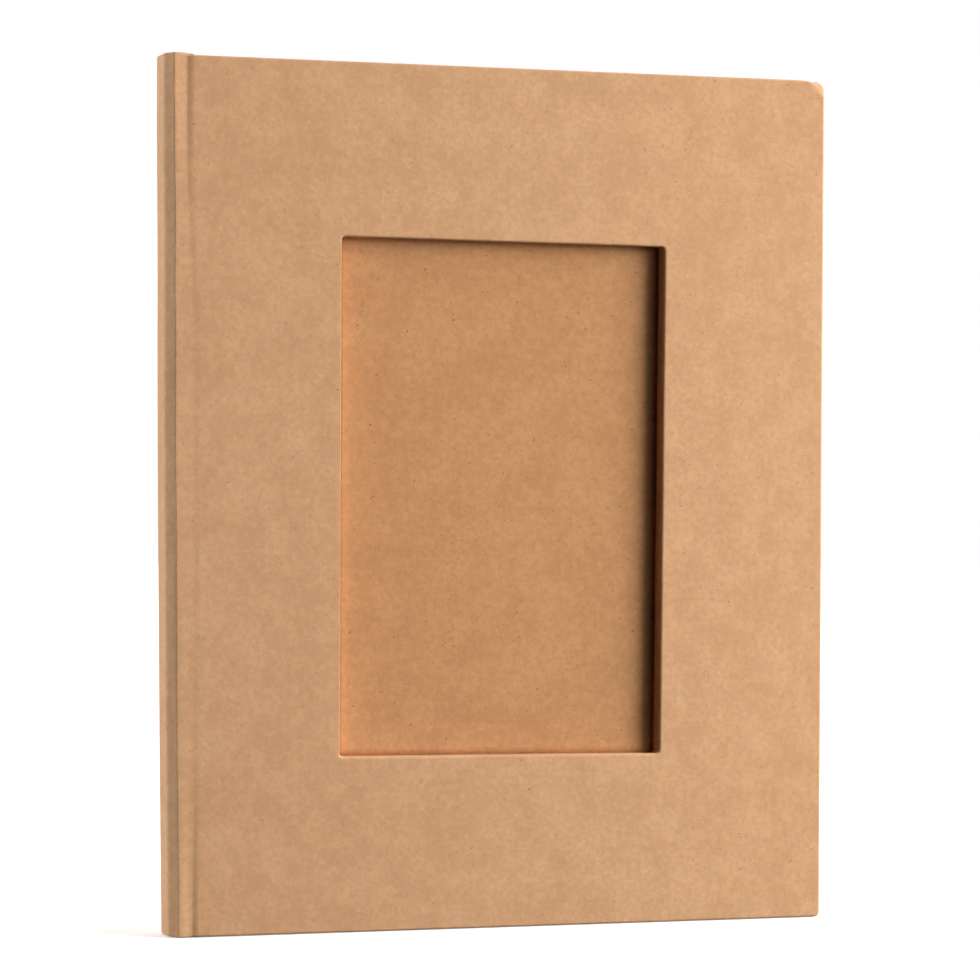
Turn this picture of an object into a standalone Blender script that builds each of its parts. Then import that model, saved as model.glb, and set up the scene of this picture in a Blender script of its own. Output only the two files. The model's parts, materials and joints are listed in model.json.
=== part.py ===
"""A case-bound scrapbook album, standing on its tail edge.

The front cover faces -Y, the spine is at -X and +Z is up. The origin is at the
centre of the base. The case is grey board wrapped in kraft paper, with a window
sunk into the front cover, and it holds a block of card leaves between two
flyleaves. Both covers turn about vertical lines in the grooves beside the spine.
"""

import bmesh
import bpy
from mathutils import Vector

MM = 0.001

# The closed album
WIDTH = 203.2 * MM
THICKNESS = 16.0 * MM
COVER_HEIGHT = 253.5 * MM
SPINE_HEIGHT = 254.1 * MM
HINGE_INSET = 7.7 * MM  # from the back of the spine to the hinge line

# Sheet and board thicknesses
KRAFT = 0.30 * MM
WINDOW_BOARD = 3.9 * MM
BACKING_PAPER = 0.25 * MM
BACKING_BOARD = 1.2 * MM
BACK_BOARD = 1.8 * MM
SPINE_BOARD = 1.6 * MM
ENDPAPER = 0.20 * MM
LEAF = 0.30 * MM
GLUE_LINE = 0.10 * MM  # between two layers that are pasted together

# The picture window in the front cover
WINDOW_WIDTH = 100.4 * MM
WINDOW_HEIGHT = 151.5 * MM
WINDOW_FROM_HINGE = 43.9 * MM
WINDOW_BOTTOM = 50.7 * MM
WINDOW_CORNER = 1.2 * MM
WINDOW_TURN_IN = 12.0 * MM
BACKING_GAP = 0.3 * MM  # between the window's walls and the paper pasted inside them

# Folds and edges
TURN_IN = 16.0 * MM
EDGE_ROUND = 0.8 * MM
COVER_CORNER = 2.0 * MM
SPINE_ROUND = 3.0 * MM
SPINE_HOLLOW_ROUND = 2.0 * MM
SPINE_BOARD_ROUND = 0.9 * MM
LEAF_CORNER = 1.5 * MM

# The leaf block
LEAF_COUNT = 10
LEAF_GAP = 0.25 * MM
BLOCK_CLEARANCE = 0.35 * MM
SQUARE = 3.0 * MM  # how far the covers stand past the leaves
LINING_THICKNESS = 0.3 * MM
LINING_SETBACK = 0.4 * MM
SPINE_BOARD_INSET = 1.7 * MM  # from the front and the back of the spine
GLUE_SPINE = 1.0 * MM

HINGE_CLEARANCE = 0.3 * MM
OVERCUT = 5.0 * MM  # how far a cutter runs past the wall that it cuts

LEFT = -WIDTH / 2
RIGHT = WIDTH / 2
FRONT = -THICKNESS / 2
BACK = THICKNESS / 2
HINGE_X = LEFT + HINGE_INSET
COVER_X = HINGE_X + HINGE_CLEARANCE

WRAPPED_FRONT = WINDOW_BOARD + 2 * (KRAFT + GLUE_LINE)
WRAPPED_BACK = BACK_BOARD + 2 * (KRAFT + GLUE_LINE)
WINDOW_LEFT = HINGE_X + WINDOW_FROM_HINGE
WINDOW_RIGHT = WINDOW_LEFT + WINDOW_WIDTH
WINDOW_TOP = WINDOW_BOTTOM + WINDOW_HEIGHT

BACKING_FRONT = FRONT + WRAPPED_FRONT + GLUE_LINE
RECESS_FLOOR = BACKING_FRONT - GLUE_LINE - BACKING_PAPER
FRONT_ENDPAPER_FRONT = BACKING_FRONT + BACKING_BOARD + GLUE_LINE
BACK_ENDPAPER_BACK = BACK - WRAPPED_BACK - GLUE_LINE

BLOCK_FRONT = FRONT_ENDPAPER_FRONT + ENDPAPER + BLOCK_CLEARANCE
FIRST_LEAF_FRONT = BLOCK_FRONT + ENDPAPER + LEAF_GAP
LEAF_PITCH = LEAF + LEAF_GAP
BACK_FLYLEAF_FRONT = FIRST_LEAF_FRONT + LEAF_COUNT * LEAF_PITCH
BLOCK_BACK = BACK_FLYLEAF_FRONT + ENDPAPER

SPINE_SLOT_X = LEFT + KRAFT + SPINE_BOARD + 2 * GLUE_LINE
SPINE_INNER_X = SPINE_SLOT_X + KRAFT
LINING_X = SPINE_INNER_X + LINING_SETBACK
STUBS_X = LINING_X + LINING_THICKNESS + GLUE_LINE
STUB_ENDS_X = HINGE_X - HINGE_CLEARANCE
LEAF_X = HINGE_X + HINGE_CLEARANCE
LEAF_RIGHT = RIGHT - SQUARE
LEAF_BOTTOM = SQUARE
LEAF_TOP = COVER_HEIGHT - SQUARE

KRAFT_COLOUR = (0.56, 0.33, 0.17, 1.0)
BACKING_COLOUR = (0.50, 0.27, 0.12, 1.0)
GREYBOARD_COLOUR = (0.36, 0.33, 0.29, 1.0)
CARD_COLOUR = (0.80, 0.74, 0.63, 1.0)
ENDPAPER_COLOUR = (0.76, 0.68, 0.54, 1.0)
GLUE_COLOUR = (0.82, 0.79, 0.70, 1.0)
LINING_COLOUR = (0.74, 0.70, 0.62, 1.0)


def clear_scene():
    for obj in list(bpy.data.objects):
        bpy.data.objects.remove(obj)


def new_collection(name):
    collection = bpy.data.collections.new(name)
    bpy.context.scene.collection.children.link(collection)
    return collection


def new_material(name, colour, roughness):
    material = bpy.data.materials.new(name)
    material.use_nodes = True
    shader = material.node_tree.nodes["Principled BSDF"]
    shader.inputs["Base Color"].default_value = colour
    shader.inputs["Roughness"].default_value = roughness
    shader.inputs["Metallic"].default_value = 0.0
    return material


def new_axis(name, y):
    """An empty on a cover's hinge line, which carries whatever turns about it."""
    axis = bpy.data.objects.new(name, None)
    axis.location = (HINGE_X, y, 0.0)
    album.objects.link(axis)
    return axis


def edge_runs(edge, letter):
    """Whether an edge of a block is parallel to the named axis."""
    index = "XYZ".index(letter)
    step = edge.verts[1].co - edge.verts[0].co
    return abs(step[index]) > 0.5 * step.length


def block_mesh(name, lo, hi, roundings=()):
    """A box between two corners, about its own centre. Each rounding is the rule that
    picks its edges, its radius and its number of segments."""
    size = Vector(hi) - Vector(lo)
    shape = bmesh.new()
    bmesh.ops.create_cube(shape, size=1.0)
    bmesh.ops.scale(shape, vec=size, verts=shape.verts)
    for picks, radius, segments in roundings:
        bmesh.ops.bevel(
            shape,
            geom=[edge for edge in shape.edges if picks(edge)],
            offset=radius,
            segments=segments,
            profile=0.5,
            affect="EDGES",
        )
    mesh = bpy.data.meshes.new(name)
    shape.to_mesh(mesh)
    shape.free()
    return mesh


def place(name, mesh, lo, hi, collection, parent=None):
    obj = bpy.data.objects.new(name, mesh)
    collection.objects.link(obj)
    obj.location = (Vector(lo) + Vector(hi)) / 2
    if parent:
        obj.parent = parent
        obj.location -= parent.location
    return obj


def piece(name, lo, hi, material, parent=None, roundings=()):
    """A visible piece of the album."""
    obj = place(name, block_mesh(name, lo, hi, roundings), lo, hi, album, parent)
    obj.data.materials.append(material)
    obj.data.shade_smooth()
    obj.data.set_sharp_from_angle(angle=0.6)
    return obj


def cutter(name, lo, hi, roundings=()):
    """A helper solid that only cuts other solids."""
    obj = place(name, block_mesh(name, lo, hi, roundings), lo, hi, cutters)
    obj.hide_render = True
    obj.display_type = "WIRE"
    return obj


def cut(obj, tool):
    modifier = obj.modifiers.new(tool.name, "BOOLEAN")
    modifier.operation = "DIFFERENCE"
    modifier.solver = "EXACT"
    modifier.object = tool


def at_cover_rims(edge):
    """The outline of a cover's front and back faces, apart from the side at the groove."""
    first, second = (vertex.co for vertex in edge.verts)
    return abs(first.y - second.y) < 0.01 * MM and max(first.x, second.x) > 0


def at_spine_back(edge):
    """The two upright edges of a block at its -X side."""
    return edge_runs(edge, "Z") and edge.verts[0].co.x < 0


def at_fore_corners(edge):
    """The two corners of a sheet at its fore edge."""
    return edge_runs(edge, "Y") and edge.verts[0].co.x > 0


def through_depth(edge):
    """The edges of a block that run from front to back."""
    return edge_runs(edge, "Y")


def cover_roundings(inset):
    """A wrapped board's two fore corners and its rims, for a solid set in that far."""
    return [
        (at_fore_corners, COVER_CORNER - inset, 5),
        (at_cover_rims, EDGE_ROUND - inset, 3),
    ]


def window_block(name, margin, y_low, y_high, radius):
    """A cutter as large as the window and a margin on each of its four sides."""
    return cutter(
        name,
        (WINDOW_LEFT - margin, y_low, WINDOW_BOTTOM - margin),
        (WINDOW_RIGHT + margin, y_high, WINDOW_TOP + margin),
        [(through_depth, radius, 3)],
    )


def make_front_cover_paper(parent):
    """Kraft paper over the front, the three outer edges and the window's walls, with
    its turn-ins behind the board."""
    back = FRONT + WRAPPED_FRONT
    paper = piece(
        "front_cover_paper",
        (COVER_X, FRONT, 0.0),
        (RIGHT, back, COVER_HEIGHT),
        kraft,
        parent,
        cover_roundings(0.0),
    )
    board_space = cutter(
        "front_board_space",
        (HINGE_X - OVERCUT, FRONT + KRAFT, KRAFT),
        (RIGHT - KRAFT, back - KRAFT, COVER_HEIGHT - KRAFT),
        cover_roundings(KRAFT),
    )
    wall_y = (FRONT - OVERCUT, back + OVERCUT)
    wall_round = WINDOW_CORNER + KRAFT
    cut(board_space, window_block("window_wall", KRAFT, *wall_y, wall_round))
    cut(paper, board_space)
    opening = cutter(
        "front_turn_in_opening",
        (HINGE_X - OVERCUT, back - KRAFT - GLUE_LINE, TURN_IN),
        (RIGHT - TURN_IN, back + OVERCUT, COVER_HEIGHT - TURN_IN),
    )
    flap_y = (back - 2 * OVERCUT, back + 2 * OVERCUT)
    cut(opening, window_block("window_flaps", WINDOW_TURN_IN, *flap_y, WINDOW_CORNER))
    cut(paper, opening)
    cut(paper, window_block("window_cut", 0.0, *wall_y, WINDOW_CORNER))


def make_front_window_board(parent):
    inset = KRAFT + GLUE_LINE
    board = piece(
        "front_window_board",
        (COVER_X, FRONT + inset, inset),
        (RIGHT - inset, FRONT + inset + WINDOW_BOARD, COVER_HEIGHT - inset),
        greyboard,
        parent,
        cover_roundings(inset),
    )
    wall_y = (FRONT - OVERCUT, BACK)
    cut(board, window_block("board_window", inset, *wall_y, WINDOW_CORNER + inset))


def make_window_backing(parent):
    piece(
        "window_backing_paper",
        (WINDOW_LEFT + BACKING_GAP, RECESS_FLOOR, WINDOW_BOTTOM + BACKING_GAP),
        (
            WINDOW_RIGHT - BACKING_GAP,
            RECESS_FLOOR + BACKING_PAPER,
            WINDOW_TOP - BACKING_GAP,
        ),
        backing,
        parent,
        [(through_depth, WINDOW_CORNER, 3)],
    )
    piece(
        "front_backing_board",
        (COVER_X, BACKING_FRONT, SQUARE / 2),
        (RIGHT - SQUARE / 2, BACKING_FRONT + BACKING_BOARD, COVER_HEIGHT - SQUARE / 2),
        greyboard,
        parent,
        [(at_fore_corners, LEAF_CORNER, 3)],
    )


def make_sheet(name, front, thickness, material, parent):
    """A leaf, flyleaf or endpaper, trimmed a square smaller than the covers."""
    return piece(
        name,
        (LEAF_X, front, LEAF_BOTTOM),
        (LEAF_RIGHT, front + thickness, LEAF_TOP),
        material,
        parent,
        [(at_fore_corners, LEAF_CORNER, 3)],
    )


def make_spine_cover_paper():
    """Kraft paper round the spine board, from groove to groove, doubled where it is
    turned in at the head and the tail."""
    paper = piece(
        "spine_cover_paper",
        (LEFT, FRONT, 0.0),
        (HINGE_X - HINGE_CLEARANCE, BACK, SPINE_HEIGHT),
        kraft,
        roundings=[(at_spine_back, SPINE_ROUND, 8)],
    )
    doubled = 2 * KRAFT + GLUE_LINE
    hollow = cutter(
        "spine_hollow",
        (SPINE_INNER_X, FRONT + doubled, -OVERCUT),
        (HINGE_X + OVERCUT, BACK - doubled, SPINE_HEIGHT + OVERCUT),
    )
    cut(paper, hollow)
    slot_inset = SPINE_BOARD_INSET - GLUE_LINE
    slot = cutter(
        "spine_board_slot",
        (LEFT + KRAFT, FRONT + slot_inset, KRAFT),
        (SPINE_SLOT_X, BACK - slot_inset, SPINE_HEIGHT - KRAFT),
        [(at_spine_back, SPINE_BOARD_ROUND + GLUE_LINE, 4)],
    )
    cut(paper, slot)
    between_turn_ins = cutter(
        "between_spine_turn_ins",
        (SPINE_SLOT_X - GLUE_LINE, FRONT + KRAFT, TURN_IN),
        (HINGE_X + OVERCUT, BACK - KRAFT, SPINE_HEIGHT - TURN_IN),
        [(at_spine_back, SPINE_HOLLOW_ROUND, 4)],
    )
    cut(paper, between_turn_ins)


def make_spine_board():
    inset = KRAFT + GLUE_LINE
    piece(
        "spine_board",
        (LEFT + inset, FRONT + SPINE_BOARD_INSET, inset),
        (LEFT + inset + SPINE_BOARD, BACK - SPINE_BOARD_INSET, SPINE_HEIGHT - inset),
        greyboard,
        roundings=[(at_spine_back, SPINE_BOARD_ROUND, 4)],
    )


def make_spine_lining():
    piece(
        "spine_lining",
        (LINING_X, BLOCK_FRONT, LEAF_BOTTOM),
        (LINING_X + LINING_THICKNESS, BLOCK_BACK, LEAF_TOP),
        lining,
    )


def stub_fronts():
    """(front, thickness) of each sheet's stub, from the front flyleaf to the back one."""
    card = [(FIRST_LEAF_FRONT + n * LEAF_PITCH, LEAF) for n in range(LEAF_COUNT)]
    return [(BLOCK_FRONT, ENDPAPER), *card, (BACK_FLYLEAF_FRONT, ENDPAPER)]


def make_binding_stubs():
    """The glued gutter: one comb whose teeth are the stubs that the sheets bend from."""
    base_x = STUBS_X + GLUE_SPINE
    teeth = []
    for front, thickness in stub_fronts():
        teeth += [
            (base_x, front),
            (STUB_ENDS_X, front),
            (STUB_ENDS_X, front + thickness),
            (base_x, front + thickness),
        ]
    # The outer sides of the first and last teeth are flush with the comb's base.
    outline = [(STUBS_X, BLOCK_BACK), (STUBS_X, BLOCK_FRONT), *teeth[1:-1]]
    curve = bpy.data.curves.new("binding_stubs", "CURVE")
    curve.dimensions = "2D"
    curve.fill_mode = "BOTH"
    curve.extrude = (LEAF_TOP - LEAF_BOTTOM) / 2
    spline = curve.splines.new("POLY")
    spline.points.add(len(outline) - 1)
    for point, (x, y) in zip(spline.points, outline):
        point.co = (x, y, 0.0, 1.0)
    spline.use_cyclic_u = True
    stubs = bpy.data.objects.new("binding_stubs", curve)
    album.objects.link(stubs)
    stubs.location.z = (LEAF_TOP + LEAF_BOTTOM) / 2
    curve.materials.append(glue)


def make_back_cover_paper(parent):
    inner = BACK - WRAPPED_BACK
    paper = piece(
        "back_cover_paper",
        (COVER_X, inner, 0.0),
        (RIGHT, BACK, COVER_HEIGHT),
        kraft,
        parent,
        cover_roundings(0.0),
    )
    board_space = cutter(
        "back_board_space",
        (HINGE_X - OVERCUT, inner + KRAFT, KRAFT),
        (RIGHT - KRAFT, BACK - KRAFT, COVER_HEIGHT - KRAFT),
        cover_roundings(KRAFT),
    )
    cut(paper, board_space)
    opening = cutter(
        "back_turn_in_opening",
        (HINGE_X - OVERCUT, inner - OVERCUT, TURN_IN),
        (RIGHT - TURN_IN, inner + KRAFT + GLUE_LINE, COVER_HEIGHT - TURN_IN),
    )
    cut(paper, opening)


def make_back_board(parent):
    inset = KRAFT + GLUE_LINE
    piece(
        "back_board",
        (COVER_X, BACK - inset - BACK_BOARD, inset),
        (RIGHT - inset, BACK - inset, COVER_HEIGHT - inset),
        greyboard,
        parent,
        cover_roundings(inset),
    )


clear_scene()
album = new_collection("scrapbook_album")
cutters = new_collection("cutters")

kraft = new_material("kraft_paper", KRAFT_COLOUR, 0.78)
backing = new_material("window_backing", BACKING_COLOUR, 0.85)
greyboard = new_material("greyboard", GREYBOARD_COLOUR, 0.90)
card = new_material("card_leaf", CARD_COLOUR, 0.85)
endpaper = new_material("endpaper", ENDPAPER_COLOUR, 0.85)
glue = new_material("binding_glue", GLUE_COLOUR, 0.45)
lining = new_material("spine_lining", LINING_COLOUR, 0.85)

front_axis = new_axis("front_hinge_axis", FRONT)
back_axis = new_axis("back_hinge_axis", BACK)

make_front_cover_paper(front_axis)
make_front_window_board(front_axis)
make_window_backing(front_axis)
make_sheet("front_endpaper", FRONT_ENDPAPER_FRONT, ENDPAPER, endpaper, front_axis)

make_spine_cover_paper()
make_spine_board()
make_spine_lining()
make_binding_stubs()

make_sheet("front_flyleaf", BLOCK_FRONT, ENDPAPER, endpaper, front_axis)
for number in range(LEAF_COUNT):
    leaf_front = FIRST_LEAF_FRONT + number * LEAF_PITCH
    make_sheet(f"leaf_{number + 1:02d}", leaf_front, LEAF, card, front_axis)
make_sheet("back_flyleaf", BACK_FLYLEAF_FRONT, ENDPAPER, endpaper, back_axis)

make_back_cover_paper(back_axis)
make_back_board(back_axis)
make_sheet("back_endpaper", BACK_ENDPAPER_BACK - ENDPAPER, ENDPAPER, endpaper, back_axis)
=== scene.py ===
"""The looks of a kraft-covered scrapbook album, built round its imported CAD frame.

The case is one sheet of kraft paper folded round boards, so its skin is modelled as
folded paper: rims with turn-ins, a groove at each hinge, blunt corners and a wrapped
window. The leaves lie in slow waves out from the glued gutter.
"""

import json
import math

import bmesh
import bpy
import numpy as np
from mathutils import Matrix, Vector, noise


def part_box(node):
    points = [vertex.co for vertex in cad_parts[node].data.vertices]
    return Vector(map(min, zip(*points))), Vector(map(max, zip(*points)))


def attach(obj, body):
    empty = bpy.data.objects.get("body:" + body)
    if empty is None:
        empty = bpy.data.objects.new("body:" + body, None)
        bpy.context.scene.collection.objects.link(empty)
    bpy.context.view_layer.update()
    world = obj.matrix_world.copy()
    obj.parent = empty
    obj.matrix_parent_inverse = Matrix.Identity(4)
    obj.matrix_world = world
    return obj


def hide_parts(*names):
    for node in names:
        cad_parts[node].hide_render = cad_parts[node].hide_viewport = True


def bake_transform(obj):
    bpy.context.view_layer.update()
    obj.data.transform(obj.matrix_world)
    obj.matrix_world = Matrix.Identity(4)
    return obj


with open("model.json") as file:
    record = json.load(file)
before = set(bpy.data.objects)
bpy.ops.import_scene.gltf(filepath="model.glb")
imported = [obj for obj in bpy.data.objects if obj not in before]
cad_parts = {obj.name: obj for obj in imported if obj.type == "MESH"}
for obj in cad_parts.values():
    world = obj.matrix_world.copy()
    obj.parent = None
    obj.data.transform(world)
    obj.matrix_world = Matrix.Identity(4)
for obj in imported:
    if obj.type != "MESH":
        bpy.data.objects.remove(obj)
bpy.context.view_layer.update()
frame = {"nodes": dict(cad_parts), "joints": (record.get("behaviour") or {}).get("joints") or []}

MM = 0.001

# Places taken from the frame
COVER_LO, COVER_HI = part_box("front_cover_paper")
BACK_LO, BACK_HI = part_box("back_cover_paper")
SPINE_LO, SPINE_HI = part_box("spine_cover_paper")
BACKING_LO, BACKING_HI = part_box("window_backing_paper")
STUBS_LO, STUBS_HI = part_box("binding_stubs")
JOINTS = {joint["name"]: joint for joint in frame["joints"]}
HINGE_X = JOINTS["front_cover_hinge"]["pos_m"][0]

FRONT_Y = SPINE_LO.y
BACK_Y = SPINE_HI.y
SPINE_X = SPINE_LO.x
FORE_X = COVER_HI.x
COVER_TOP = COVER_HI.z
SPINE_TOP = SPINE_HI.z
FRONT_STACK = COVER_HI.y - COVER_LO.y
BACK_STACK = BACK_HI.y - BACK_LO.y

# Folded kraft paper, and how thick the case is where it turns in
KRAFT = 0.3 * MM
EDGE_ROUND = 0.55 * MM
TURN_IN = 16 * MM
RIDGE_STACK = 0.7 * MM
SPINE_STACK = 2.4 * MM
HEAD_CORNER = 1.9 * MM
TAIL_CORNER = 1.3 * MM

# The spine's long corners: a soft bend, a flat bevel that faces 55 degrees away from
# the cover, and a tighter bend onto the ridge
BEVEL_FACING = math.radians(55)
BEVEL_WIDTH = 3.0 * MM
SPINE_BEND = 3.0 * MM
RIDGE_BEND = 0.4 * MM
BEVEL_ACROSS = (
    SPINE_BEND * (1 - math.sin(BEVEL_FACING))
    + BEVEL_WIDTH * math.cos(BEVEL_FACING)
    + RIDGE_BEND * math.sin(BEVEL_FACING)
)
BEVEL_THROUGH = (
    SPINE_BEND * math.cos(BEVEL_FACING)
    + BEVEL_WIDTH * math.sin(BEVEL_FACING)
    + RIDGE_BEND * (1 - math.cos(BEVEL_FACING))
)

# The strip of paper over each hinge: how far it reaches to either side of the line
HINGE_TO_RIDGE = 4.7 * MM
HINGE_TO_COVER = 2.6 * MM
STRIP_END = HINGE_X + HINGE_TO_COVER

# The picture window, a little wider than the backing sheet in it
BACKING_GAP = 0.3 * MM
WINDOW = (
    BACKING_LO.x - BACKING_GAP,
    BACKING_HI.x + BACKING_GAP,
    BACKING_LO.z - BACKING_GAP,
    BACKING_HI.z + BACKING_GAP,
)
WINDOW_CORNER = 1.2 * MM
WINDOW_FLAP = 12 * MM

# How finely the surfaces are divided
ACROSS = 60
UP = 84
ARC = 6
FOLD = 5
MERGE = 1e-6

# Kraft tones, linear: the case, its darker clouds, and the same of the window's backing
KRAFT_TONE = (0.610, 0.345, 0.183)
KRAFT_DARK = (0.508, 0.270, 0.132)
BACKING_TONE = (0.540, 0.270, 0.116)
BACKING_DARK = (0.435, 0.201, 0.081)

# Sheets, boards and glue, linear
CARD_TONE = (0.50, 0.44, 0.34)
ENDPAPER_TONE = (0.58, 0.48, 0.34)
BOARD_TONE = (0.33, 0.29, 0.24)
GLUE_TONE = (0.78, 0.72, 0.58)
MULL_TONE = (0.74, 0.70, 0.61)

# The studio: how bright the cyclorama is in front of the album and behind it
WORLD_FRONT = 0.02
WORLD_BEHIND = 1.1
FLOOR_RADIUS = 6.0
WHITE = (1.0, 1.0, 1.0, 1.0)


def smooth(low, high, value):
    """An even S curve that is 0 at low and before it, and 1 at high and beyond."""
    t = min(1.0, max(0.0, (value - low) / (high - low)))
    return t * t * (3 - 2 * t)


def mm(*values):
    """Lengths given in millimetres, as metres."""
    return tuple(value * MM for value in values)


def spread(count, ease=0.88):
    """Fractions from 0 to 1 that lie closer together at both ends."""
    t = np.linspace(0.0, 1.0, count + 1)
    return t - ease * np.sin(2 * np.pi * t) / (2 * np.pi)


def turn(centre, radius, start, end, count):
    """Points along an arc, angles in degrees."""
    angles = np.radians(np.linspace(start, end, count + 1))
    steps = np.stack([np.cos(angles), np.sin(angles)], 1)
    return np.array(centre) + radius * steps


# ---------------------------------------------------------------- meshes


class Skin:
    """A sheet's outer surface, gathered from grids of points with shared borders."""

    def __init__(self):
        self.points = []
        self.quads = []

    def add(self, rows):
        start = len(self.points)
        width = len(rows[0])
        self.points += [tuple(point) for row in rows for point in row]
        for r in range(len(rows) - 1):
            for c in range(width - 1):
                first = start + r * width + c
                self.quads.append((first, first + 1, first + width + 1, first + width))

    def piece(self, name, facing, thickness=KRAFT, offset=-1.0):
        """The surface as an object of that thickness, with its outside towards facing."""
        mesh = bpy.data.meshes.new(name)
        mesh.from_pydata(self.points, [], self.quads)
        shape = bmesh.new()
        shape.from_mesh(mesh)
        bmesh.ops.remove_doubles(shape, verts=shape.verts, dist=MERGE)
        bmesh.ops.recalc_face_normals(shape, faces=shape.faces)
        facing = Vector(facing)
        outermost = max(shape.faces, key=lambda f: f.calc_center_median().dot(facing))
        if outermost.normal.dot(facing) < 0:
            bmesh.ops.reverse_faces(shape, faces=shape.faces)
        shape.to_mesh(mesh)
        shape.free()
        mesh.shade_smooth()
        obj = bpy.data.objects.new(name, mesh)
        bpy.context.scene.collection.objects.link(obj)
        if thickness:
            solid = obj.modifiers.new("paper thickness", "SOLIDIFY")
            solid.thickness = thickness
            solid.offset = offset
            solid.use_quality_normals = True
        return obj


def loop(x0, x1, z0, z1, corners):
    """A rectangle's outline in x and z, from its tail hinge corner along the tail, up
    the fore edge and back along the head. corners are the four radii in that order."""
    first, second, third, fourth = corners
    across = spread(ACROSS)[:, None]
    up = spread(UP)[:, None]

    def side(start, end, fractions):
        return np.array(start) + fractions * (np.array(end) - np.array(start))

    parts = [
        side((x0 + first, z0), (x1 - second, z0), across),
        turn((x1 - second, z0 + second), second, -90, 0, ARC)[1:-1],
        side((x1, z0 + second), (x1, z1 - third), up),
        turn((x1 - third, z1 - third), third, 0, 90, ARC)[1:-1],
        side((x1 - third, z1), (x0 + fourth, z1), across),
        turn((x0 + fourth, z1 - fourth), fourth, 90, 180, ARC)[1:-1],
        side((x0, z1 - fourth), (x0, z0 + first), up),
        turn((x0 + first, z0 + first), first, 180, 270, ARC)[1:-1],
    ]
    closed = np.concatenate(parts)
    return np.vstack([closed, closed[:1]])


OPEN_LOOP = 2 * (ACROSS + 1) + (UP + 1) + 2 * (ARC - 1)


def edge_profile(stack, flap):
    """(inset, depth) from the end of a turn-in, round a board's edge, to its face."""
    radius = min(EDGE_ROUND, stack / 2)
    inner = turn((radius, stack - radius), radius, 90, 180, FOLD)
    outer = turn((radius, radius), radius, 180, 270, FOLD)
    under = np.linspace(flap, radius, 6)[:-1]
    flat = np.stack([under, np.full(len(under), stack)], 1)
    return np.vstack([flat, inner, outer])


def lean(z):
    """How far the hand-made spine stands off true, from its tail to its head."""
    low = max(0.0, 1 - z / (175 * MM))
    high = smooth(180 * MM, 250 * MM, z)
    return (1.9 * low**1.4 - 0.5 * high - 0.2) * MM


class Side:
    """One half of the case: which way it faces, and how deep its paper is pressed in."""

    def __init__(self, face_y, inward, stack, seed, groove, wall, head_shift):
        self.face_y = face_y
        self.inward = inward
        self.stack = stack
        self.seed = seed
        self.groove = groove  # its depth at the tail, in the middle and at the head
        self.wall = wall  # how wide its cover side is at those three heights
        self.head_shift = head_shift

    def along(self, values, z):
        """A value at that height, given what it is at the tail, middle and head."""
        tail, middle, head = values
        near_tail = math.exp(-((z / (26 * MM)) ** 1.5))
        near_head = math.exp(-(((COVER_TOP - z) / (34 * MM)) ** 2))
        return middle + (tail - middle) * near_tail + (head - middle) * near_head

    def crease(self, z):
        """How far the groove's bottom strays from the hinge line."""
        head = self.head_shift * smooth(165 * MM, 232 * MM, z)
        return head + 0.25 * MM * smooth(130 * MM, 60 * MM, z)

    def groove_at(self, x, z):
        bottom = HINGE_X + self.crease(z)
        deep = self.along(self.groove, z)
        ridge = SPINE_X + BEVEL_ACROSS
        if x < bottom:
            return deep * smooth(ridge, bottom, x)
        t = min(1.0, (x - bottom) / self.along(self.wall, z)) ** 0.8
        return deep * (1 - smooth(0.0, 1.0, t))

    def cockle(self, x, z):
        """The paper's own slow waves, which stand a little proud of the board."""
        across = noise.noise(Vector((x * 22, self.seed, z * 14)))
        fine = noise.noise(Vector((x * 70, self.seed + 5, z * 70)))
        return -0.05 * MM * (1 + across) - 0.012 * MM * (1 + fine)

    def corner(self, x, z):
        """Corners blunted by handling: bent back, with a crease across them."""
        bent = 0.0
        for height, size in ((COVER_TOP, 1.0), (0.0, 0.45)):
            reach = (FORE_X - x + abs(height - z)) / math.sqrt(2)
            limit = 3.6 * MM * size
            if reach < limit:
                bent += 0.16 * size * (limit - reach) ** 1.5 / math.sqrt(limit)
            ripple = (reach - limit) / (0.8 * MM * size + 0.1 * MM)
            bent -= 0.13 * MM * size * math.exp(-ripple**2)
        return bent

    def splay(self, x, z):
        """The fore edge leans out a little towards the head and in at the tail."""
        sway = 0.4 * smooth(110 * MM, COVER_TOP, z) - 0.25 * smooth(110 * MM, 0.0, z)
        return sway * MM * smooth(0.0, FORE_X, x)

    def droop(self, x, z):
        """How far the knocked fore corner at the head has sunk."""
        near = smooth(COVER_TOP - 14 * MM, COVER_TOP, z)
        return 0.65 * MM * near * smooth(FORE_X - 8 * MM, FORE_X - 1 * MM, x)

    def pressed(self, x, z):
        """How far the paper lies below the cover's true face."""
        return self.groove_at(x, z) + self.cockle(x, z) + self.corner(x, z)

    def lay(self, points, depth=0.0, keep=0.0):
        """Flat (x, z) points laid on this side, some depth below its face. keep is how
        much of that place's relief is left out."""
        laid = []
        for x, z in points:
            sunk = depth + (1 - keep) * self.pressed(x, z)
            out = x + self.splay(x, z)
            laid.append((out, self.face_y + self.inward * sunk, z - self.droop(x, z)))
        return laid


FRONT = Side(
    FRONT_Y,
    1,
    FRONT_STACK,
    3.7,
    groove=mm(0.26, 0.05, 0.29),
    wall=mm(1.9, 2.0, 2.2),
    head_shift=-2.3 * MM,
)
BACK = Side(
    BACK_Y,
    -1,
    BACK_STACK,
    8.3,
    groove=mm(0.24, 0.12, 0.26),
    wall=mm(1.4, 1.1, 1.8),
    head_shift=-0.6 * MM,
)


def cover_loop(inset):
    """A cover's outline, that far in from its edges; its hinge side stays in place."""
    radii = (0.0, max(0.0, TAIL_CORNER - inset), max(0.0, HEAD_CORNER - inset), 0.0)
    return loop(STRIP_END, FORE_X - inset, inset, COVER_TOP - inset, radii)


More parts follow.
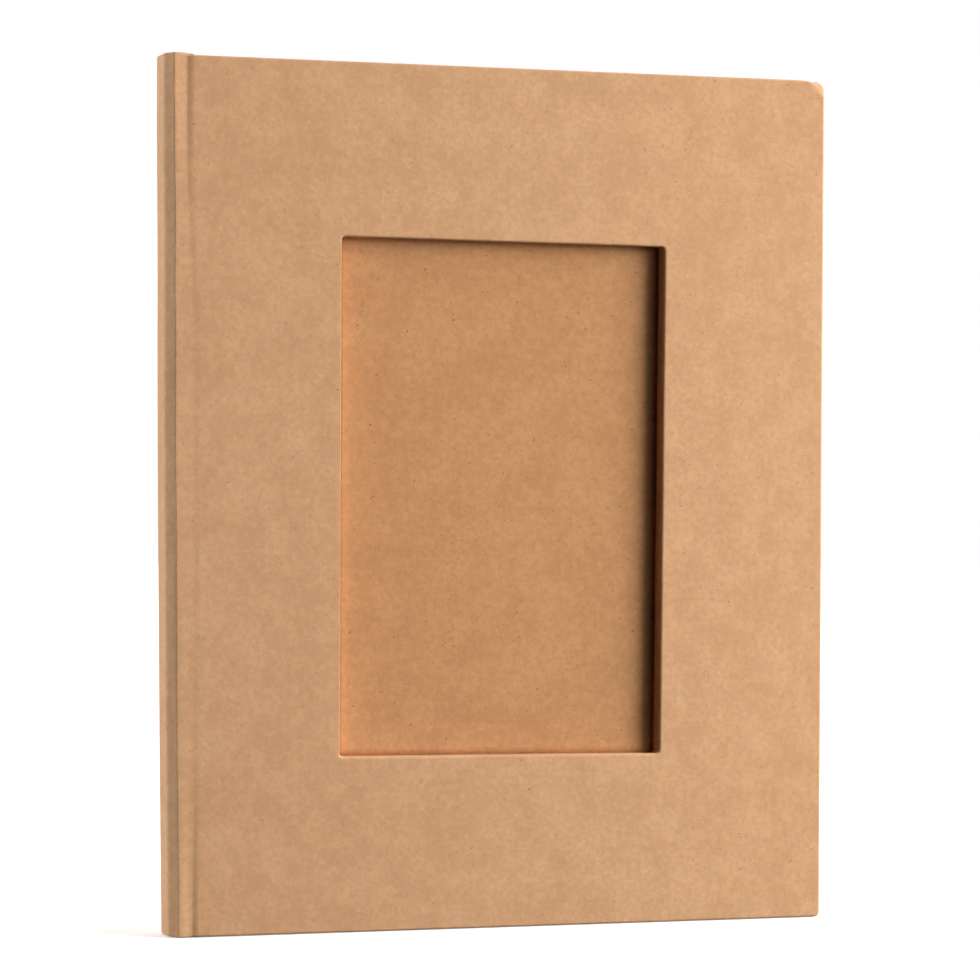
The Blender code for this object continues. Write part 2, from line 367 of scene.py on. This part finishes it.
def add_cover_rim(skin, side):
    """The head, fore edge and tail of a cover, with their turn-ins and mitred corners."""
    rows = []
    for inset, depth in edge_profile(side.stack, TURN_IN):
        outline = cover_loop(inset)[:OPEN_LOOP]
        rows.append(side.lay(outline, depth, depth / side.stack))
    skin.add(rows)


def add_ring(skin, side, outer, inner, steps, ease=0.9):
    """The flat face between two outlines."""
    rows = [outer + t * (inner - outer) for t in spread(steps, ease)]
    skin.add([side.lay(row) for row in rows])


def add_field(skin, side, x0, x1, z0, z1):
    """A rectangle of face that meets a ring's inner outline."""
    xs = x0 + spread(ACROSS) * (x1 - x0)
    zs = z0 + spread(UP) * (z1 - z0)
    skin.add([side.lay([(x, z) for x in xs]) for z in zs])


def rim_radius(x, z):
    """The paper turns softly round the window's rim, and tightly down its hinge side."""
    x0, x1, z0, z1 = WINDOW
    reach = 2 * MM
    fore = smooth(x1 - reach, x1, x)
    head = smooth(z1 - reach, z1, z)
    tail = smooth(z0 + reach, z0, z)
    return (0.12 + 0.9 * max(fore, 0.7 * tail, 0.5 * head)) * MM


def askew(x, z):
    """The window was cut and wrapped by hand, a little out of square."""
    x0, x1, z0, z1 = WINDOW
    across = (2 * x - x0 - x1) / (x1 - x0)
    up = (2 * z - z0 - z1) / (z1 - z0)
    fore = (0.5 * up - 0.9) * smooth(0, 1, across)
    return fore * MM, -0.3 * MM * across


def add_window(skin, side):
    """The window's rounded rim, its walls and the flaps turned in behind the board.
    Returns the outline that the face runs up to."""
    plain = (WINDOW_CORNER,) * 4
    wall = loop(*WINDOW, plain)
    x0, x1, z0, z1 = WINDOW
    step = 1.0 * MM
    wider = (x0 - step, x1 + step, z0 - step, z1 + step)
    away = (loop(*wider, (WINDOW_CORNER + step,) * 4) - wall) / step
    radii = np.array([rim_radius(x, z) for x, z in wall])
    wall = wall + np.array([askew(x, z) for x, z in wall])
    wobble = np.array([noise.noise(Vector((x * 60, 1.3, z * 60))) for x, z in wall])
    wobble = 0.06 * MM * wobble
    wobble[-1] = wobble[0]

    rows = []
    for angle in np.radians(np.linspace(0, 90, FOLD + 2)):
        out = radii * (1 - math.sin(angle)) + wobble
        depth = radii * (1 - math.cos(angle))
        rows.append((wall + away * out[:, None], depth))
    rim_line = rows[0][0]
    fold = 0.35 * MM
    for share in np.linspace(0.15, 1.0, 5):
        depth = radii + share * (side.stack - fold - radii)
        rows.append((wall + away * wobble[:, None], depth))
    for out, drop in turn((fold, side.stack - fold), fold, 180, 90, 4)[1:]:
        rows.append((wall + away * (wobble + out)[:, None], np.full(len(wall), drop)))
    for out in np.linspace(fold, WINDOW_FLAP, 5)[1:]:
        flat = np.full(len(wall), side.stack)
        rows.append((wall + away * out, flat))
    laid = []
    for points, depths in rows:
        line = []
        for (x, z), depth in zip(points, depths):
            keep = min(1.0, depth / side.stack)
            line.append(side.lay([(x, z)], depth, keep)[0])
        laid.append(line)
    skin.add(laid)
    return rim_line


def hinge_offsets():
    """Column places across a groove, closest together at its bottom."""
    to_ridge = mm(4.1, 3.5, 2.9, 2.4, 1.9, 1.5, 1.15, 0.85, 0.6, 0.4, 0.2)
    to_cover = mm(0.2, 0.4, 0.6, 0.85, 1.15, 1.5, 1.85, 2.2)
    inner = [-place for place in to_ridge] + [0.0] + list(to_cover)
    return [-HINGE_TO_RIDGE] + inner + [HINGE_TO_COVER]


def column(side, x, y, inward, stack, groove_x=None, loose=0.0):
    """One upright run of the strip along the spine: turned in at the tail, up the
    outside and turned in at the head. loose is how much the fold there wavers."""
    top = COVER_TOP + (SPINE_TOP - COVER_TOP) * (
        1 - smooth(HINGE_X - 2.2 * MM, HINGE_X + 0.9 * MM, x)
    )
    profile = edge_profile(stack, TURN_IN)
    low = profile[-1][0]
    face = low + spread(UP)[1:-1] * (top - 2 * low)
    runs = [(z, depth) for z, depth in profile]
    runs += [(z, 0.0) for z in face]
    runs += [(top - z, depth) for z, depth in profile[::-1]]
    line = []
    over_board = x > HINGE_X
    for z, depth in runs:
        keep = depth / stack if over_board else 0.0
        place = x
        sunk = depth
        if groove_x is not None:
            height = min(z, COVER_TOP)
            edge = -HINGE_TO_RIDGE if groove_x < 0 else HINGE_TO_COVER
            near = 1 - smooth(0.0, 1.0, groove_x / edge)
            place = x + side.crease(height) * near * (1 - depth / stack)
            sunk = depth + (1 - keep) * side.pressed(place, height)
            place += lean(z) * smooth(-0.4 * MM, -HINGE_TO_RIDGE, groove_x)
        else:
            waver = noise.noise(Vector((y * 300, 6.1, z * 45)))
            place += lean(z) + loose * 0.3 * MM * waver
            sunk = depth + side.cockle(x, z) * (1 - depth / stack)
        line.append((place + inward[0] * sunk, y + inward[1] * sunk, z))
    return line


def hinge_columns(side):
    """The columns from the ridge beside the spine, over the groove, to the cover."""
    columns = []
    for offset in hinge_offsets():
        over = smooth(-0.25 * MM, 0.25 * MM, offset)
        stack = RIDGE_STACK + over * (side.stack - RIDGE_STACK)
        x = HINGE_X + offset
        columns.append(
            column(side, x, side.face_y, (0, side.inward), stack, groove_x=offset)
        )
    return columns


def spine_corner():
    """The spine's long corner in section, from the spine's face to the ridge. Each point
    is its distance from the face, its depth below the cover, and how much of the quarter
    turn onto the cover is still to come, at an even pace along the section."""
    points = []
    for facing in np.linspace(math.pi / 2, BEVEL_FACING, 7):
        across = SPINE_BEND * (1 - math.sin(facing))
        through = BEVEL_THROUGH - SPINE_BEND * math.cos(facing)
        points.append((across, through))
    start = points[-1]
    for share in (0.25, 0.5, 0.75):
        across = start[0] + share * BEVEL_WIDTH * math.cos(BEVEL_FACING)
        through = start[1] - share * BEVEL_WIDTH * math.sin(BEVEL_FACING)
        points.append((across, through))
    for facing in np.linspace(BEVEL_FACING, 0, 6):
        across = BEVEL_ACROSS - RIDGE_BEND * math.sin(facing)
        points.append((across, RIDGE_BEND * (1 - math.cos(facing))))
    steps = np.linalg.norm(np.diff(points, axis=0), axis=1)
    gone = np.concatenate([[0.0], np.cumsum(steps)]) / steps.sum()
    return [(*point, (1 - g) * math.pi / 2) for point, g in zip(points, gone)]


def spine_columns():
    """The columns round the spine, from the back ridge to the front one."""

    def corner_columns(side):
        columns = []
        for across, through, angle in spine_corner():
            stack = RIDGE_STACK + math.sin(angle) * (SPINE_STACK - RIDGE_STACK)
            y = side.face_y + side.inward * through
            inward = (math.sin(angle), side.inward * math.cos(angle))
            loose = smooth(0.5 * BEVEL_THROUGH, 0.0, through)
            x = SPINE_X + across
            columns.append(column(FRONT, x, y, inward, stack, loose=loose))
        return columns

    flat_ys = np.linspace(BACK_Y - BEVEL_THROUGH, FRONT_Y + BEVEL_THROUGH, 9)[1:-1]
    flat = [column(FRONT, SPINE_X, y, (1, 0), SPINE_STACK) for y in flat_ys]
    return corner_columns(BACK)[::-1] + flat + corner_columns(FRONT)


def make_front_wrap(material):
    """One sheet over the spine and the front cover, across the front hinge."""
    skin = Skin()
    skin.add(hinge_columns(BACK)[:1] + spine_columns() + hinge_columns(FRONT))
    add_cover_rim(skin, FRONT)
    rim_line = add_window(skin, FRONT)
    inset = EDGE_ROUND
    add_ring(skin, FRONT, cover_loop(inset), rim_line, 26)
    wrap = skin.piece("front_kraft_wrap", (0, -1, 0))
    finish(wrap, material)
    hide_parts("front_cover_paper", "spine_cover_paper")
    across_hinge(wrap, "front_cover", FRONT_Y)


def make_back_wrap(material):
    """The same sheet's other half, from the back ridge to the back fore edge."""
    skin = Skin()
    skin.add(hinge_columns(BACK))
    add_cover_rim(skin, BACK)
    outer = cover_loop(EDGE_ROUND)
    inset = 6 * MM
    field = (STRIP_END + inset, FORE_X - inset, inset, COVER_TOP - inset)
    add_ring(skin, BACK, outer, loop(*field, (0.0,) * 4), 6, 0.5)
    add_field(skin, BACK, *field)
    wrap = skin.piece("back_kraft_wrap", (0, 1, 0))
    finish(wrap, material)
    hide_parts("back_cover_paper", "spine_cover_paper")
    across_hinge(wrap, "back_cover", BACK_Y)


def finish(obj, material):
    """Gives a piece its one material."""
    obj.data.materials.clear()
    obj.data.materials.append(material)


def across_hinge(obj, body, y, start=-1.5 * MM, end=1.5 * MM):
    """Bakes a piece's placement into its mesh. The body and the two places near the hinge are
    not used.
    """
    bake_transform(obj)


def rounded(x, z, x1, z0, z1, radius):
    """Moves a point of a square fore corner onto a round one."""
    for height, up in ((z1, 1), (z0, -1)):
        centre_x = x1 - radius
        centre_z = height - up * radius
        u = (x - centre_x) / radius
        v = up * (z - centre_z) / radius
        if u > 0 and v > 0:
            x = centre_x + radius * u * math.sqrt(1 - v * v / 2)
            z = centre_z + up * radius * v * math.sqrt(1 - u * u / 2)
            return x, z
    return x, z


def make_sheet(name, node, material, x0, wave, seed):
    """A sheet of the CAD node's size that starts at the gutter and lies in slow waves."""
    lo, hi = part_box(node)
    radius = 1.5 * MM
    near = np.linspace(0, 1, 27)[:-1] ** 1.3
    bend = 14 * MM
    xs = x0 + near * bend
    field = np.linspace(x0 + bend, hi.x - radius, 30)
    corner = radius * np.linspace(0, 1, 5)
    xs = np.concatenate([xs, field[:-1], hi.x - radius + corner])
    zs = np.linspace(lo.z + radius, hi.z - radius, 40)
    zs = np.concatenate([lo.z + corner[:-1], zs, (hi.z - corner[:-1])[::-1]])
    middle = (lo.y + hi.y) / 2
    skin = Skin()
    rows = []
    for z in zs:
        row = []
        for x in xs:
            px, pz = rounded(x, z, hi.x, lo.z, hi.z, radius)
            free = smooth(x0, x0 + 40 * MM, x)
            sway = noise.noise(Vector((px * 11, seed, pz * 9)))
            row.append((px, middle + wave * free * sway, pz))
        rows.append(row)
    skin.add(rows)
    sheet = skin.piece(name, (0, -1, 0), hi.y - lo.y, 0.0)
    finish(sheet, material)
    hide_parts(node)
    return sheet


def make_leaves(card, paper):
    """The ten card leaves between the two free halves of the endpapers."""
    gutter = STUBS_LO.x + 0.8 * MM
    bend = (-2.6 * MM, 6 * MM)
    sheets = [("front_flyleaf", "front_free_endpaper", "endpaper", paper)]
    for name in sorted(n for n in frame["nodes"] if n.startswith("leaf_")):
        sheets.append((name, "card_" + name, "card_leaf", card))
    sheets.append(("back_flyleaf", "back_free_endpaper", "endpaper", paper))
    for number, (node, name, slot, material) in enumerate(sheets):
        sheet = make_sheet(name, node, material, gutter, 0.07 * MM, number * 2.1)
        y = BACK_Y if node == "back_flyleaf" else FRONT_Y
        across_hinge(sheet, node, y, *bend)


def make_pastedowns(paper):
    """The pasted halves of the endpapers, which also close the joint inside the case."""
    for node, body, y in (
        ("front_endpaper", "front_cover", FRONT_Y),
        ("back_endpaper", "back_cover", BACK_Y),
    ):
        name = node.replace("endpaper", "pastedown")
        sheet = make_sheet(name, node, paper, STUBS_LO.x, 0.0, 40.0)
        across_hinge(sheet, body, y, -2.6 * MM, 1.8 * MM)


def make_backing(material):
    """The darker kraft sheet at the bottom of the window, a little cockled."""
    x0, x1, z0, z1 = WINDOW
    reach = 0.02 * MM
    xs = np.linspace(x0 - reach, x1 + reach, 50)
    zs = np.linspace(z0 - reach, z1 + reach, 70)
    middle = (BACKING_LO.y + BACKING_HI.y) / 2
    rows = []
    for z in zs:
        row = []
        for x in xs:
            inside = smooth(0, 15 * MM, min(x - x0, x1 - x, z - z0, z1 - z))
            sway = noise.noise(Vector((x * 26, 2.2, z * 20)))
            dx, dz = askew(x, z)
            row.append((x + dx, middle - 0.06 * MM * inside * (1 + sway), z + dz))
        rows.append(row)
    skin = Skin()
    skin.add(rows)
    sheet = skin.piece("window_backing_sheet", (0, -1, 0), 0.25 * MM, 0.0)
    finish(sheet, material)
    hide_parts("window_backing_paper")
    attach(sheet, "front_cover")


def make_spine_strip(material):
    """The stiff board in the spine, which follows the way the spine leans."""
    lo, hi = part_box("spine_board")
    radius = 0.9 * MM
    lo.y += 1.7 * MM
    hi.y -= 1.7 * MM
    outline = np.vstack(
        [
            turn((lo.x + radius, hi.y - radius), radius, 90, 180, 4),
            turn((lo.x + radius, lo.y + radius), radius, 180, 270, 4),
            [(hi.x, lo.y), (hi.x, 0.0), (hi.x, hi.y), (lo.x + radius, hi.y)],
        ]
    )
    heights = np.linspace(lo.z, hi.z, 60)
    rows = [[(x + lean(z), y, z) for x, y in outline] for z in heights]
    middle = ((lo.x + hi.x) / 2, 0.0)
    ends = []
    for z in (heights[0], heights[-1]):
        ends.append([(middle[0] + lean(z), middle[1], z)] * len(outline))
    skin = Skin()
    skin.add([ends[0]] + rows + [ends[1]])
    strip = skin.piece("spine_stiffener", (-1, 0, 0), 0)
    finish(strip, material)
    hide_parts("spine_board")
    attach(strip, "spine")


def make_glue(material):
    """The glued gutter: a thick bead that has crept a little way between the sheets."""
    lo, hi = STUBS_LO, STUBS_HI
    count = 12
    inner_x = lo.x + 1.0 * MM
    ys = np.linspace(lo.y, hi.y, 6 * count + 1)
    rows = []
    for z in np.linspace(lo.z + 0.2 * MM, hi.z - 0.2 * MM, 120):
        line = [(lo.x, lo.y, z)]
        for y in ys:
            crest = 0.5 + 0.5 * math.cos(2 * math.pi * count * (y - lo.y) / (hi.y - lo.y))
            creep = 0.5 + 0.5 * noise.noise(Vector((3.1, y * 900, z * 90)))
            line.append((inner_x + crest * creep * 1.4 * MM, y, z))
        line.append((lo.x, hi.y, z))
        line.append((lo.x, lo.y, z))
        rows.append(line)
    centre = (lo.x + 0.4 * MM, (lo.y + hi.y) / 2)
    capped = [[(*centre, rows[0][0][2])] * len(rows[0])] + rows
    capped.append([(*centre, rows[-1][0][2])] * len(rows[0]))
    skin = Skin()
    skin.add(capped)
    bead = skin.piece("binding_glue_bead", (1, 0, 0), 0)
    finish(bead, material)
    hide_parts("binding_stubs")
    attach(bead, "spine")


# ---------------------------------------------------------------- materials


def ramp_node(tree, value, low, high, new_low, new_high):
    """An S curve from one range of a value to another, as a shader node."""
    node = tree.nodes.new("ShaderNodeMapRange")
    node.interpolation_type = "SMOOTHSTEP"
    tree.links.new(value, node.inputs["Value"])
    node.inputs["From Min"].default_value = low
    node.inputs["From Max"].default_value = high
    node.inputs["To Min"].default_value = new_low
    node.inputs["To Max"].default_value = new_high
    return node.outputs["Result"]


class Shader:
    """A Principled material and short ways to add nodes to it."""

    def __init__(self, name, roughness, sheen=0.0):
        self.material = bpy.data.materials.new(name)
        self.material.use_nodes = True
        self.tree = self.material.node_tree
        self.surface = self.tree.nodes["Principled BSDF"]
        self.surface.inputs["Roughness"].default_value = roughness
        self.surface.inputs["Specular IOR Level"].default_value = 0.3
        self.surface.inputs["Sheen Weight"].default_value = sheen
        self.place = self.tree.nodes.new("ShaderNodeTexCoord").outputs["Object"]

    def join(self, value, socket):
        if isinstance(value, bpy.types.NodeSocket):
            self.tree.links.new(value, socket)
        elif value is not None:
            socket.default_value = value

    def noise(self, scale, detail=3.0, roughness=0.55, place=None, distortion=0.0):
        node = self.tree.nodes.new("ShaderNodeTexNoise")
        node.inputs["Scale"].default_value = scale
        node.inputs["Detail"].default_value = detail
        node.inputs["Roughness"].default_value = roughness
        node.inputs["Distortion"].default_value = distortion
        self.join(place or self.place, node.inputs["Vector"])
        return node.outputs["Fac"]

    def maths(self, operation, first, second=None, third=None):
        node = self.tree.nodes.new("ShaderNodeMath")
        node.operation = operation
        self.join(first, node.inputs[0])
        self.join(second, node.inputs[1])
        self.join(third, node.inputs[2])
        return node.outputs[0]

    def vector(self, operation, first, second=None):
        node = self.tree.nodes.new("ShaderNodeVectorMath")
        node.operation = operation
        self.join(first, node.inputs[0])
        self.join(second, node.inputs[1])
        return node.outputs["Value" if operation == "LENGTH" else "Vector"]

    def ramp(self, value, low, high, new_low=0.0, new_high=1.0):
        return ramp_node(self.tree, value, low, high, new_low, new_high)

    def mix(self, share, first, second):
        node = self.tree.nodes.new("ShaderNodeMix")
        node.data_type = "RGBA"
        self.join(share, node.inputs[0])
        self.join(first, node.inputs[6])
        self.join(second, node.inputs[7])
        return node.outputs[2]

    def fibres(self, scale, width, cover, shift):
        """Short curved hairs: contour lines of one noise, kept only in patches."""
        place = self.vector("ADD", self.place, (shift, shift * 2, shift * 3))
        field = self.noise(scale, 1.0, 0.4, place, 0.8)
        line = self.maths("ABSOLUTE", self.maths("SUBTRACT", field, 0.5))
        line = self.ramp(line, width, width * 0.3)
        patch = self.noise(scale * 1.7, 1.0, 0.5, place)
        return self.maths("MULTIPLY", line, self.ramp(patch, cover, cover + 0.06))

    def specks(self, spacing, length, width, share, shift):
        """Scattered slivers, each turned its own way: one to a random cell at most."""
        place = self.vector("ADD", self.place, (shift, shift * 2, shift * 3))
        cells = self.tree.nodes.new("ShaderNodeTexVoronoi")
        cells.inputs["Scale"].default_value = 1 / spacing
        self.join(place, cells.inputs["Vector"])
        scaled = self.vector("SUBTRACT", place, cells.outputs["Position"])
        spin = self.tree.nodes.new("ShaderNodeVectorRotate")
        spin.rotation_type = "EULER_XYZ"
        self.join(scaled, spin.inputs["Vector"])
        angles = self.vector("MULTIPLY", cells.outputs["Color"], (6.28, 6.28, 6.28))
        self.join(angles, spin.inputs["Rotation"])
        shape = self.vector(
            "DIVIDE", spin.outputs["Vector"], (length / 2, width / 2, width)
        )
        inside = self.ramp(self.vector("LENGTH", shape), 1.15, 0.7)
        parts = self.tree.nodes.new("ShaderNodeSeparateColor")
        self.join(cells.outputs["Color"], parts.inputs[0])
        chosen = self.ramp(parts.outputs[1], share, share * 0.6)
        return self.maths("MULTIPLY", inside, chosen)

    def colour(self, socket):
        self.join(socket, self.surface.inputs["Base Color"])

    def roughness(self, socket):
        self.join(socket, self.surface.inputs["Roughness"])

    def bump(self, height, distance, strength):
        node = self.tree.nodes.new("ShaderNodeBump")
        node.inputs["Distance"].default_value = distance
        node.inputs["Strength"].default_value = strength
        self.join(height, node.inputs["Height"])
        self.join(node.outputs["Normal"], self.surface.inputs["Normal"])


def shade(colour, factor):
    """A colour made that much lighter or darker, with an alpha of 1."""
    return tuple(min(1.0, channel * factor) for channel in colour) + (1.0,)


def kraft_material(name, tone, dark, speck_share, mottle):
    """Unbleached kraft: cloudy pulp, fine hairs both lighter and darker, dark shives."""
    s = Shader(name, 0.82, 0.04)
    pulp = s.noise(620, 3.0, 0.6)
    clouds = s.noise(95, 3.0, 0.55)
    flow = s.noise(330, 2.0, 0.5)
    light, deep = 1 + 0.07 * mottle, 1 - 0.075 * mottle
    base = s.mix(s.ramp(pulp, 0.3, 0.7), shade(tone, deep), shade(tone, light))
    base = s.mix(s.ramp(clouds, 0.32, 0.68, 0.0, 0.5), base, shade(dark, 1.0))
    base = s.mix(s.ramp(flow, 0.48, 0.66, 0.0, 0.36 * mottle), base, shade(tone, 1.12))
    pale = s.fibres(420, 0.020, 0.50, 0.31)
    base = s.mix(s.maths("MULTIPLY", pale, 0.28), base, shade(tone, 1.30))
    brown = s.fibres(360, 0.018, 0.53, 0.77)
    base = s.mix(s.maths("MULTIPLY", brown, 0.30), base, shade(dark, 0.72))
    shives = s.specks(4.2 * MM, 1.1 * MM, 0.34 * MM, speck_share, 0.13)
    base = s.mix(s.maths("MULTIPLY", shives, 0.72), base, shade(dark, 0.42))
    grit = s.specks(2.6 * MM, 0.5 * MM, 0.30 * MM, speck_share, 0.57)
    base = s.mix(s.maths("MULTIPLY", grit, 0.5), base, shade(dark, 0.55))
    flecks = s.specks(5.1 * MM, 0.9 * MM, 0.26 * MM, 0.5, 0.91)
    base = s.mix(s.maths("MULTIPLY", flecks, 0.4), base, shade(tone, 1.4))
    s.colour(base)
    s.roughness(s.ramp(pulp, 0.2, 0.8, 0.74, 0.90))
    relief = s.maths("ADD", pulp, s.maths("MULTIPLY", pale, 0.35))
    relief = s.maths("ADD", relief, s.maths("MULTIPLY", clouds, 1.2))
    s.bump(relief, 0.08 * MM, 0.45)
    return s.material


def greyboard_material():
    """Recycled board: grey-brown pulp full of dark and pale chips, layered at its edge."""
    s = Shader("greyboard", 0.9)
    tone = BOARD_TONE
    pulp = s.noise(500, 4.0, 0.6)
    layers = s.noise(3000, 1.0, 0.5, s.vector("MULTIPLY", s.place, (0.06, 1.0, 0.06)))
    base = s.mix(s.ramp(pulp, 0.3, 0.7), shade(tone, 0.8), shade(tone, 1.2))
    base = s.mix(s.ramp(layers, 0.5, 0.75, 0.0, 0.4), base, shade(tone, 0.65))
    chips = s.specks(1.9 * MM, 0.8 * MM, 0.4 * MM, 0.6, 0.2)
    base = s.mix(s.maths("MULTIPLY", chips, 0.6), base, shade(tone, 0.4))
    pale = s.specks(2.3 * MM, 0.7 * MM, 0.3 * MM, 0.6, 0.7)
    base = s.mix(s.maths("MULTIPLY", pale, 0.6), base, shade(tone, 1.8))
    s.colour(base)
    s.bump(s.maths("ADD", pulp, layers), 0.1 * MM, 0.6)
    return s.material


def sheet_material(name, tone, fibre, roughness, grain):
    """A smooth uncoated sheet: faint clouds, a felt surface and a few stray fibres."""
    s = Shader(name, roughness)
    clouds = s.noise(120, 3.0, 0.6)
    felt = s.noise(grain, 3.0, 0.6)
    base = s.mix(s.ramp(clouds, 0.3, 0.7), shade(tone, 0.955), shade(tone, 1.03))
    base = s.mix(s.ramp(felt, 0.3, 0.7, 0.0, 0.5), base, shade(tone, 0.93))
    hairs = s.fibres(300, 0.014, 0.56, 0.43)
    base = s.mix(s.maths("MULTIPLY", hairs, fibre), base, shade(tone, 0.66))
    motes = s.specks(6 * MM, 0.7 * MM, 0.25 * MM, 0.35, 0.21)
    base = s.mix(s.maths("MULTIPLY", motes, fibre), base, shade(tone, 0.5))
    s.colour(base)
    s.roughness(s.ramp(felt, 0.2, 0.8, roughness - 0.06, roughness + 0.05))
    s.bump(s.maths("ADD", felt, s.maths("MULTIPLY", clouds, 0.6)), 0.06 * MM, 0.5)
    return s.material


def glue_material():
    """Dried binding glue: milky, slightly yellowed and half glossy."""
    s = Shader("binding_glue", 0.4)
    tone = GLUE_TONE
    clouds = s.noise(240, 3.0, 0.6)
    s.colour(s.mix(s.ramp(clouds, 0.3, 0.7), shade(tone, 0.86), shade(tone, 1.08)))
    s.roughness(s.ramp(clouds, 0.3, 0.7, 0.32, 0.55))
    s.bump(clouds, 0.3 * MM, 0.5)
    return s.material


def mull_material():
    """Open-weave lining cloth, stiffened with glue."""
    s = Shader("spine_lining", 0.88)
    tone = MULL_TONE
    waves = []
    for axis in ("Y", "Z"):
        thread = s.tree.nodes.new("ShaderNodeTexWave")
        thread.bands_direction = axis
        thread.inputs["Scale"].default_value = 360
        thread.inputs["Distortion"].default_value = 0.6
        thread.inputs["Detail Scale"].default_value = 300
        s.join(s.place, thread.inputs["Vector"])
        waves.append(thread.outputs["Fac"])
    weave = s.maths("MAXIMUM", *waves)
    slub = s.noise(500, 3.0, 0.6)
    base = s.mix(weave, shade(tone, 0.6), shade(tone, 1.0))
    s.colour(s.mix(s.ramp(slub, 0.4, 0.7, 0.0, 0.5), base, shade(tone, 0.85)))
    s.bump(weave, 0.15 * MM, 0.7)
    return s.material


# ---------------------------------------------------------------- the studio


def make_floor():
    """A pale round floor, wide enough that its edge is far behind the album."""
    bpy.ops.mesh.primitive_circle_add(vertices=96, radius=FLOOR_RADIUS, fill_type="NGON")
    floor = bpy.context.object
    floor.name = "studio_floor"
    floor.location = (0.0, 0.0, -0.2 * MM)
    floor.visible_diffuse = False
    floor.visible_glossy = False
    s = Shader("floor", 0.9)
    grain = s.noise(4, 2.0, 0.5)
    s.colour(s.mix(grain, (0.93, 0.93, 0.93, 1.0), (0.96, 0.96, 0.96, 1.0)))
    s.surface.inputs["Emission Color"].default_value = WHITE
    far = s.ramp(s.vector("LENGTH", s.place), 0.5, 2.5, 0.3, 1.0)
    s.join(far, s.surface.inputs["Emission Strength"])
    floor.data.materials.append(s.material)


def make_world():
    """A white cyclorama lit from behind the album and above, plain white to the lens."""
    world = bpy.data.worlds.new("studio")
    world.use_nodes = True
    bpy.context.scene.world = world
    tree = world.node_tree
    light = tree.nodes["Background"]
    seen = tree.nodes.new("ShaderNodeBackground")
    seen.inputs["Color"].default_value = WHITE
    seen.inputs["Strength"].default_value = 1.0
    place = tree.nodes.new("ShaderNodeTexCoord")
    parts = tree.nodes.new("ShaderNodeSeparateXYZ")
    tree.links.new(place.outputs["Generated"], parts.inputs[0])
    behind = ramp_node(tree, parts.outputs["Y"], -0.1, 0.4, WORLD_FRONT, WORLD_BEHIND)
    above = ramp_node(tree, parts.outputs["Z"], -0.6, 0.1, 0.45, 1.0)
    level = tree.nodes.new("ShaderNodeMath")
    level.operation = "MULTIPLY"
    tree.links.new(behind, level.inputs[0])
    tree.links.new(above, level.inputs[1])
    tree.links.new(level.outputs[0], light.inputs["Strength"])
    light.inputs["Color"].default_value = (1.0, 0.985, 0.96, 1.0)
    rays = tree.nodes.new("ShaderNodeLightPath")
    choose = tree.nodes.new("ShaderNodeMixShader")
    tree.links.new(rays.outputs["Is Camera Ray"], choose.inputs[0])
    tree.links.new(light.outputs[0], choose.inputs[1])
    tree.links.new(seen.outputs[0], choose.inputs[2])
    tree.links.new(choose.outputs[0], tree.nodes["World Output"].inputs["Surface"])


def area_light(name, place, target, size, power, colour):
    data = bpy.data.lights.new(name, "AREA")
    data.shape = "DISK"
    data.size = size
    data.energy = power
    data.color = colour
    lamp = bpy.data.objects.new(name, data)
    bpy.context.scene.collection.objects.link(lamp)
    lamp.location = place
    aim = Vector(target) - Vector(place)
    lamp.rotation_euler = aim.to_track_quat("-Z", "Y").to_euler()


def direction(azimuth, elevation):
    """The way to a light, from square in front of the cover towards the fore edge."""
    a, e = math.radians(azimuth), math.radians(elevation)
    return Vector((math.sin(a) * math.cos(e), -math.cos(a) * math.cos(e), math.sin(e)))


def make_lights():
    """A warm key that grazes the cover from the fore edge, and three weak helpers."""
    middle = Vector((0.0, FRONT_Y, COVER_TOP / 2))
    warm = (1.0, 0.985, 0.955)
    cool = (0.965, 1.0, 0.985)
    area_light("key", middle + 2.15 * direction(67, 20), middle, 2.2, 125, warm)
    area_light("fill", middle + 2.0 * direction(30, 12), middle, 1.0, 5.0, warm)
    area_light("side", middle + 1.3 * direction(-99, 4), middle, 0.4, 10.5, cool)
    foot = Vector((0.0, FRONT_Y, 0.01))
    area_light("bounce", foot + 0.75 * direction(62, 0), foot, 0.5, 2.6, warm)


def make_camera():
    """The photographed view: a long lens a metre away, left of square to the cover."""
    scene = bpy.context.scene
    data = bpy.data.cameras.new("camera")
    data.lens = 136.2
    data.sensor_width = 36.0
    data.clip_start = 0.05
    data.clip_end = 50
    camera = bpy.data.objects.new("camera", data)
    scene.collection.objects.link(camera)
    yaw, pitch, roll = (math.radians(a) for a in (-18.0, 0.15, 0.23))
    stand = Vector((HINGE_X - 0.248, FRONT_Y - 1.039, 0.126))
    camera.matrix_world = (
        Matrix.Translation(stand)
        @ Matrix.Rotation(yaw, 4, "Z")
        @ Matrix.Rotation(math.pi / 2 + pitch, 4, "X")
        @ Matrix.Rotation(roll, 4, "Z")
    )
    scene.camera = camera
    scene.view_settings.view_transform = "Standard"


# ---------------------------------------------------------------- the album

make_camera()
make_world()
make_lights()
make_floor()

kraft = kraft_material("kraft_paper", KRAFT_TONE, KRAFT_DARK, 0.35, 1.0)
backing = kraft_material("window_kraft", BACKING_TONE, BACKING_DARK, 0.3, 1.2)
card = sheet_material("card_leaf", CARD_TONE, 0.30, 0.86, 900)
endpaper = sheet_material("endpaper", ENDPAPER_TONE, 0.55, 0.84, 700)
greyboard = greyboard_material()

make_front_wrap(kraft)
make_back_wrap(kraft)
make_backing(backing)
make_leaves(card, endpaper)
make_pastedowns(endpaper)
make_glue(glue_material())
make_spine_strip(greyboard)
for node in ("front_window_board", "front_backing_board", "back_board"):
    finish(frame["nodes"][node], greyboard)
finish(frame["nodes"]["spine_lining"], mull_material())
